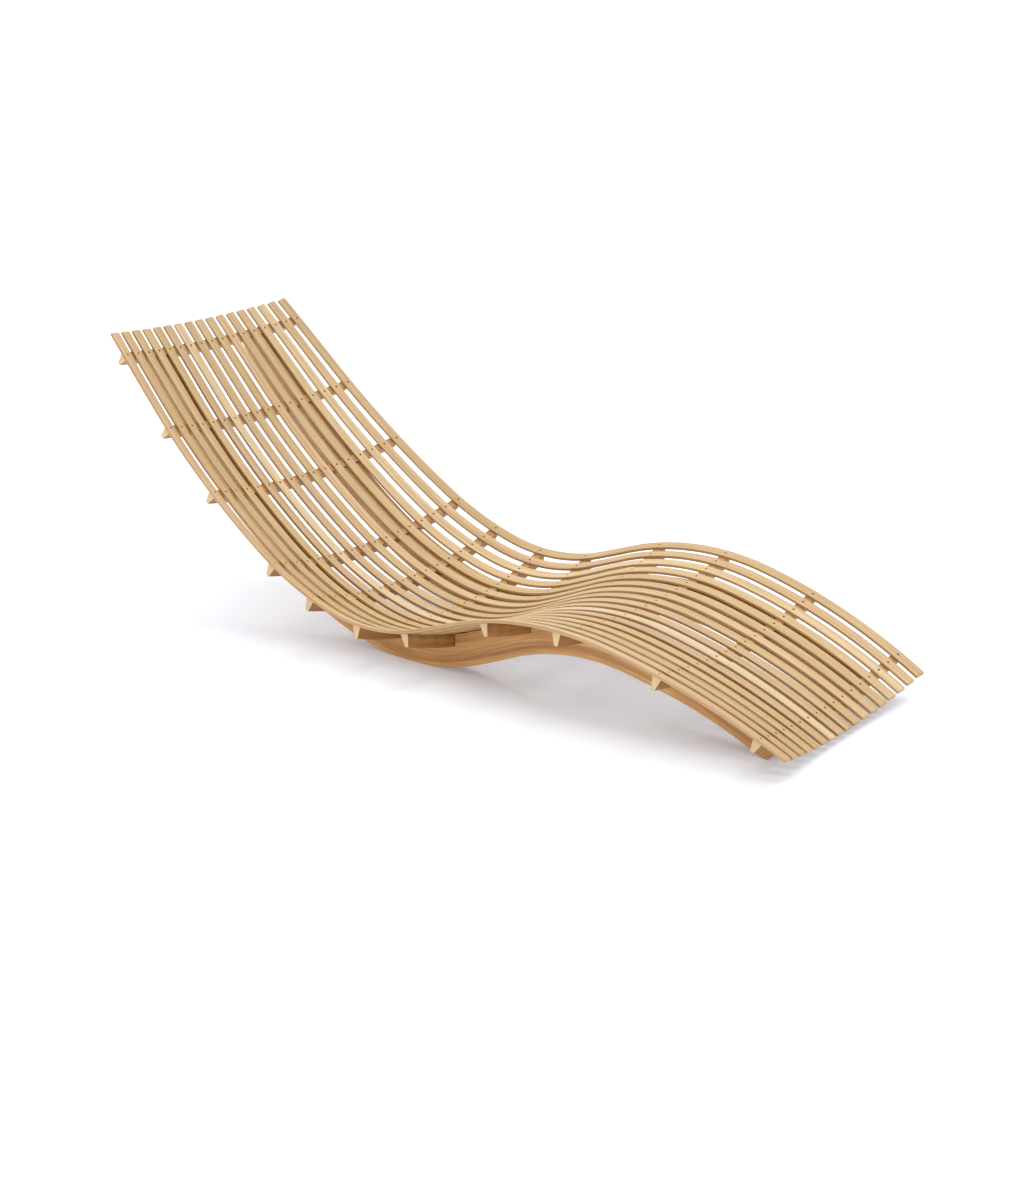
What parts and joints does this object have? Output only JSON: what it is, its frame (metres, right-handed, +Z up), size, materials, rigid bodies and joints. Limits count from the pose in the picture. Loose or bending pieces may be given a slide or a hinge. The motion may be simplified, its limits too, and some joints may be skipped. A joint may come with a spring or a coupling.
{
  "type": "chaise longue",
  "caption": "Rigid slatted teak chaise longue: long bent slats screwed to dished crossbars, carried on deep bent beams, for lying back in the garden",
  "frame": {"origin": "on the floor, in the middle of the length and of the width", "axes": "+X runs from the head end to the foot end, +Y is the sitter's left, +Z is up"},
  "size_m": [1.8649, 0.6998, 0.6714],
  "materials": {
    "slat_teak": "planed and lightly oiled teak, pale golden tan with a satin face",
    "crossbar_teak": "planed teak, end grain showing at the ends",
    "beam_teak": "laminated oiled teak, orange brown with long grain",
    "screw_steel": "dull stainless steel, dark in its recess"
  },
  "bodies": {
    "root": {"slat_01": "slat_teak", "slat_02": "slat_teak", "slat_03": "slat_teak", "slat_04": "slat_teak", "slat_05": "slat_teak", "slat_06": "slat_teak", "slat_07": "slat_teak", "slat_08": "slat_teak", "slat_09": "slat_teak", "slat_10": "slat_teak", "slat_11": "slat_teak", "slat_12": "slat_teak", "slat_13": "slat_teak", "slat_14": "slat_teak", "slat_15": "slat_teak", "slat_16": "slat_teak", "slat_17": "slat_teak", "crossbar_01": "crossbar_teak", "crossbar_02": "crossbar_teak", "crossbar_03": "crossbar_teak", "crossbar_04": "crossbar_teak", "crossbar_05": "crossbar_teak", "crossbar_06": "crossbar_teak", "crossbar_07": "crossbar_teak", "crossbar_08": "crossbar_teak", "crossbar_09": "crossbar_teak", "crossbar_10": "crossbar_teak", "crossbar_11": "crossbar_teak", "beam_left": "beam_teak", "beam_right": "beam_teak", "slat_screws_01": "screw_steel", "slat_screws_02": "screw_steel", "slat_screws_03": "screw_steel", "slat_screws_04": "screw_steel", "slat_screws_05": "screw_steel", "slat_screws_06": "screw_steel", "slat_screws_07": "screw_steel", "slat_screws_08": "screw_steel", "slat_screws_09": "screw_steel", "slat_screws_10": "screw_steel", "slat_screws_11": "screw_steel", "beam_screws_left": "screw_steel", "beam_screws_right": "screw_steel"}
  },
  "joints": []
}
